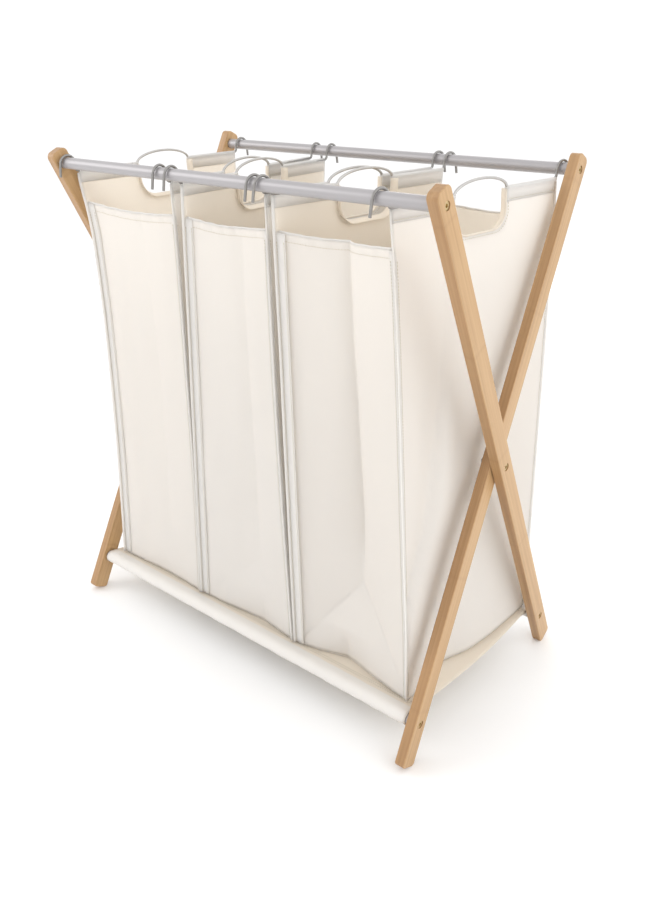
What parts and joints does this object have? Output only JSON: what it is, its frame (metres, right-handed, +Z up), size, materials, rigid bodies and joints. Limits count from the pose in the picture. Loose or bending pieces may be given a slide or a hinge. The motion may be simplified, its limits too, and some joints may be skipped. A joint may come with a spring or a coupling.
{
  "type": "laundry sorter",
  "caption": "Folding X-frame laundry sorter: crossed bamboo legs, metal tubes, removable cloth bags on wire hangers with handle notches, and a cloth sling below.",
  "frame": {"origin": "on the floor, under the middle of the frame", "axes": "+X along the tubes to the right end, +Y to the back, +Z up"},
  "size_m": [0.66, 0.386, 0.7367],
  "materials": {
    "bamboo": "clear satin lacquer",
    "tube_coat": "satin light grey powder coat",
    "wire_steel": "drawn steel wire, satin",
    "screw_brass": "yellow passivated hex-socket screws",
    "dark_steel": "blackened steel nut",
    "dark_nylon": "moulded nylon",
    "bag_cloth": "thin off-white woven polyester-cotton",
    "sling_cloth": "thin off-white woven cloth"
  },
  "bodies": {
    "frame_a": {"leg_a_left": "bamboo", "leg_a_right": "bamboo", "tube_front_top": "tube_coat", "insert_front_top_left": "dark_nylon", "screw_front_top_left": "screw_brass", "insert_front_top_right": "dark_nylon", "screw_front_top_right": "screw_brass", "tube_rear_bottom": "tube_coat", "insert_rear_bottom_left": "dark_nylon", "screw_rear_bottom_left": "screw_brass", "insert_rear_bottom_right": "dark_nylon", "screw_rear_bottom_right": "screw_brass", "pivot_bolt_left": "screw_brass", "pivot_nut_left": "dark_steel", "pivot_washer_left": "dark_nylon", "pivot_bolt_right": "screw_brass", "pivot_nut_right": "dark_steel", "pivot_washer_right": "dark_nylon", "sling": "sling_cloth"},
    "frame_b": {"leg_b_left": "bamboo", "leg_b_right": "bamboo", "tube_rear_top": "tube_coat", "insert_rear_top_left": "dark_nylon", "screw_rear_top_left": "screw_brass", "insert_rear_top_right": "dark_nylon", "screw_rear_top_right": "screw_brass", "tube_front_bottom": "tube_coat", "insert_front_bottom_left": "dark_nylon", "screw_front_bottom_left": "screw_brass", "insert_front_bottom_right": "dark_nylon", "screw_front_bottom_right": "screw_brass"},
    "bag_1": {"bag_1": "bag_cloth", "hanger_bag_1_left": "wire_steel", "hanger_bag_1_right": "wire_steel"},
    "bag_2": {"bag_2": "bag_cloth", "hanger_bag_2_left": "wire_steel", "hanger_bag_2_right": "wire_steel"},
    "bag_3": {"bag_3": "bag_cloth", "hanger_bag_3_left": "wire_steel", "hanger_bag_3_right": "wire_steel"}
  },
  "joints": [
    {"name": "frame_fold", "type": "hinge", "parent": "frame_a", "child": "frame_b", "pos_m": [0, 0, 0.3644], "axis": [1, 0, 0], "range_deg": [0, 48], "deforming": ["bag_1", "hanger_bag_1_left", "hanger_bag_1_right", "bag_2", "hanger_bag_2_left", "hanger_bag_2_right", "bag_3", "hanger_bag_3_left", "hanger_bag_3_right", "sling"]},
    {"name": "bag_1_lift", "type": "slide", "parent": "frame_a", "child": "bag_1", "axis": [0, 0, 1], "range_m": [0, 0.68]},
    {"name": "bag_2_lift", "type": "slide", "parent": "frame_a", "child": "bag_2", "axis": [0, 0, 1], "range_m": [0, 0.68]},
    {"name": "bag_3_lift", "type": "slide", "parent": "frame_a", "child": "bag_3", "axis": [0, 0, 1], "range_m": [0, 0.68]}
  ]
}
